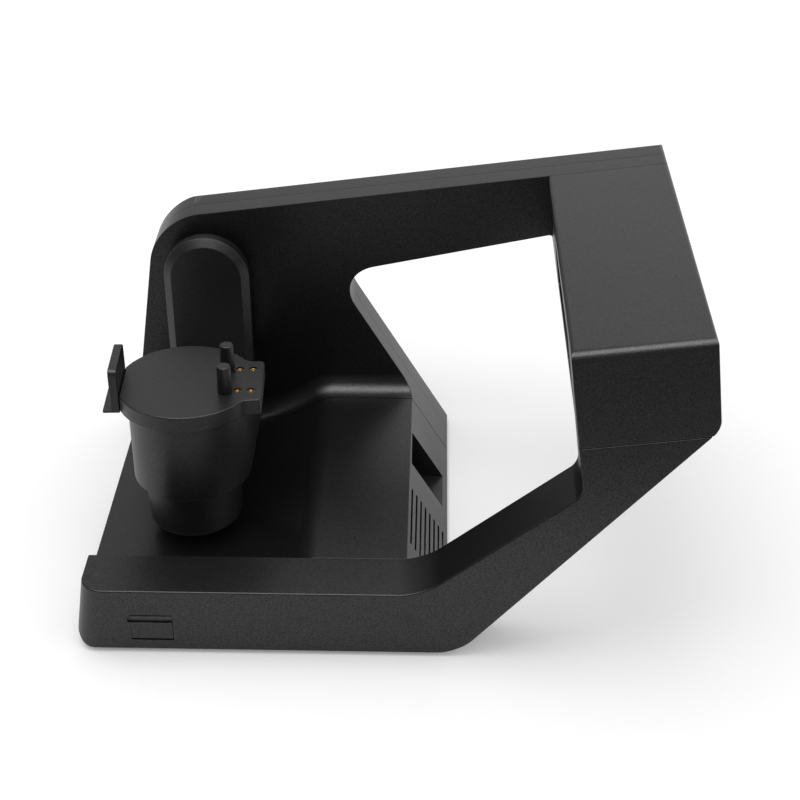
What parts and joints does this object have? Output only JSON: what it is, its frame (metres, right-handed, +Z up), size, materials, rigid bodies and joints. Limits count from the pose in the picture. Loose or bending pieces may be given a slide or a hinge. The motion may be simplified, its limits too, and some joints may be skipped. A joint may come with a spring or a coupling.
{
  "type": "desktop 3d scanner",
  "caption": "Open-frame desktop 3D scanner: low base, upright back wall, tilted optics head on a slanted strut, and a swing arm carrying a turning clamp platform.",
  "frame": {"origin": "middle of the overall box in plan, on the surface that the feet stand on", "axes": "+X to the right along the front rail, towards the head; +Y from the front rail to the back wall; +Z up"},
  "size_m": [0.4281, 0.306, 0.2547],
  "materials": {
    "moulded_plastic": "black moulded ABS with a fine spark-eroded grain",
    "arm_plastic": "black moulded ABS, slightly duller than the housings",
    "connector_plastic": "black moulded nylon, low gloss",
    "black_rubber": "moulded black rubber",
    "steel": "zinc-plated or ground steel",
    "dark_metal": "black-coated metal housing",
    "aluminium": "machined aluminium",
    "brass": "machined brass",
    "circuit_board": "green solder mask on glass-fibre board",
    "window_glass": "dark tinted flat glass",
    "lens_glass": "coated lens in a black barrel"
  },
  "bodies": {
    "base": {"front_frame": "moulded_plastic", "rail_rear_cover": "moulded_plastic", "strut_rear_cover": "moulded_plastic", "base_housing": "moulded_plastic", "base_plate": "steel", "dc_inlet": "connector_plastic", "data_socket": "steel", "wall_front_shell": "moulded_plastic", "wall_rear_shell": "moulded_plastic", "switch_frame": "connector_plastic", "head_cover": "moulded_plastic", "head_bottom_cover": "moulded_plastic", "optics_window": "window_glass", "optics_bracket": "aluminium", "projector_body": "dark_metal", "projector_lens": "lens_glass", "front_camera": "dark_metal", "front_camera_lens": "lens_glass", "rear_camera": "dark_metal", "rear_camera_lens": "lens_glass", "head_board": "circuit_board", "bearing_block": "aluminium", "front_swing_bearing": "steel", "rear_swing_bearing": "steel", "swing_motor": "dark_metal", "swing_motor_bracket": "steel", "swing_belt": "black_rubber", "swing_sensor": "connector_plastic", "flap_pin": "steel", "port_board": "circuit_board", "service_port": "steel", "main_board": "circuit_board", "power_board": "circuit_board", "fan_frame": "connector_plastic", "front_left_foot": "black_rubber", "rear_left_foot": "black_rubber", "front_right_foot": "black_rubber", "rear_right_foot": "black_rubber"},
    "arm": {"swing_axle": "steel", "swing_pulley": "aluminium", "arm_cover": "arm_plastic", "arm_plate": "steel", "column_housing": "arm_plastic", "motor_cup": "arm_plastic", "table_motor": "dark_metal", "spindle_tube": "aluminium", "lower_table_bearing": "steel", "upper_table_bearing": "steel"},
    "table": {"table_motor_shaft": "steel", "shaft_coupler": "aluminium", "table_shaft": "steel", "platform": "arm_plastic", "front_pin": "arm_plastic", "rear_pin": "arm_plastic"},
    "jaw": {"clamp_jaw": "arm_plastic"},
    "motor_pulley": {"swing_motor_pulley": "brass"},
    "flap": {"port_flap": "moulded_plastic"},
    "rocker": {"switch_rocker": "connector_plastic"},
    "fan": {"fan_rotor": "connector_plastic"}
  },
  "joints": [
    {"name": "arm_swing", "type": "hinge", "parent": "base", "child": "arm", "pos_m": [-0.1446, 0.124, 0.165], "axis": [0, 1, 0], "range_deg": [-30, 90]},
    {"name": "swing_motor_turn", "type": "hinge", "parent": "base", "child": "motor_pulley", "pos_m": [-0.0866, 0.127, 0.143], "axis": [0, 1, 0], "range_deg": [-125, 365]},
    {"name": "table_turn", "type": "hinge", "parent": "arm", "child": "table", "pos_m": [-0.1446, -0.029, 0.1464], "axis": [0, 0, 1], "continuous": true},
    {"name": "jaw_slide", "type": "slide", "parent": "table", "child": "jaw", "axis": [-0.999, -0.0436, 0], "range_m": [0, 0.018]},
    {"name": "flap_open", "type": "hinge", "parent": "base", "child": "flap", "pos_m": [-0.1604, -0.1508, 0.0139], "axis": [1, 0, 0], "range_deg": [0, 90]},
    {"name": "switch_rock", "type": "hinge", "parent": "base", "child": "rocker", "pos_m": [-0.1186, 0.14673, 0.063], "axis": [1, 0, 0], "range_deg": [0, 14]},
    {"name": "fan_spin", "type": "hinge", "parent": "base", "child": "fan", "pos_m": [-0.0016, -0.05595, 0.0257], "axis": [1, 0, 0], "continuous": true}
  ],
  "couplings": [
    {"joint": "swing_motor_turn", "follows": "arm_swing", "ratio": 4}
  ]
}
